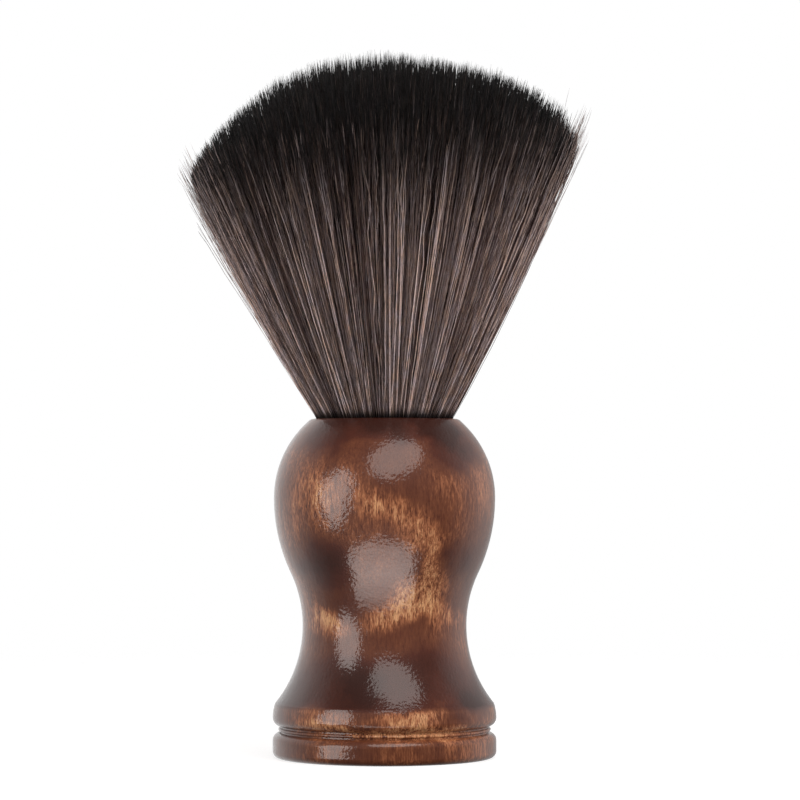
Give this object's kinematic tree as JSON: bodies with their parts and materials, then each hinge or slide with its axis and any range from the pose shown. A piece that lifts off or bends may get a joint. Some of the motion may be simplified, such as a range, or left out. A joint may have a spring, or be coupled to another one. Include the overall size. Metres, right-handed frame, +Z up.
{
  "type": "fade brush",
  "caption": "Barber's fade and neck brush: a round fan of soft dark fibres with a domed top, set in a turned, stained and lacquered wooden handle with a foot, waist and bulb.",
  "frame": {"origin": "centre of the foot's underside", "axes": "+Z up along the brush's axis, -Y towards the viewer, +X to the viewer's right"},
  "size_m": [0.0748, 0.0748, 0.136],
  "materials": {
    "lacquered_wood": "dark stained, patchy, under clear gloss lacquer",
    "black_plastic": "smooth moulded",
    "resin": "cast, smooth",
    "thread": "waxed thread",
    "glue": "set adhesive",
    "fibre": "soft nylon fibre, brown-grey at the root to black at the tip, slight sheen"
  },
  "bodies": {
    "handle": {"handle": "lacquered_wood", "socket_glue": "glue", "knot_cup": "black_plastic", "root_resin": "resin", "root_binding": "thread", "fibre_roots": "fibre", "bristle_base": "fibre"},
    "bristle_neck": {"bristle_neck": "fibre"},
    "bristle_head": {"bristle_core": "fibre", "bristle_lock_01": "fibre", "bristle_lock_02": "fibre", "bristle_lock_03": "fibre", "bristle_lock_04": "fibre", "bristle_lock_05": "fibre", "bristle_lock_06": "fibre", "bristle_lock_07": "fibre", "bristle_lock_08": "fibre", "bristle_lock_09": "fibre", "bristle_lock_10": "fibre", "bristle_lock_11": "fibre", "bristle_lock_12": "fibre"}
  },
  "joints": [
    {"name": "bristles_lean_forward", "type": "hinge", "parent": "handle", "child": "bristle_neck", "pos_m": [0, 0, 0.0715], "axis": [1, 0, 0], "range_deg": [-20, 20], "stiffness_Nm_per_rad": 0.15},
    {"name": "bristles_lean_sideways", "type": "hinge", "parent": "bristle_neck", "child": "bristle_head", "pos_m": [0, 0, 0.088], "axis": [0, 1, 0], "range_deg": [-20, 20], "stiffness_Nm_per_rad": 0.12}
  ]
}
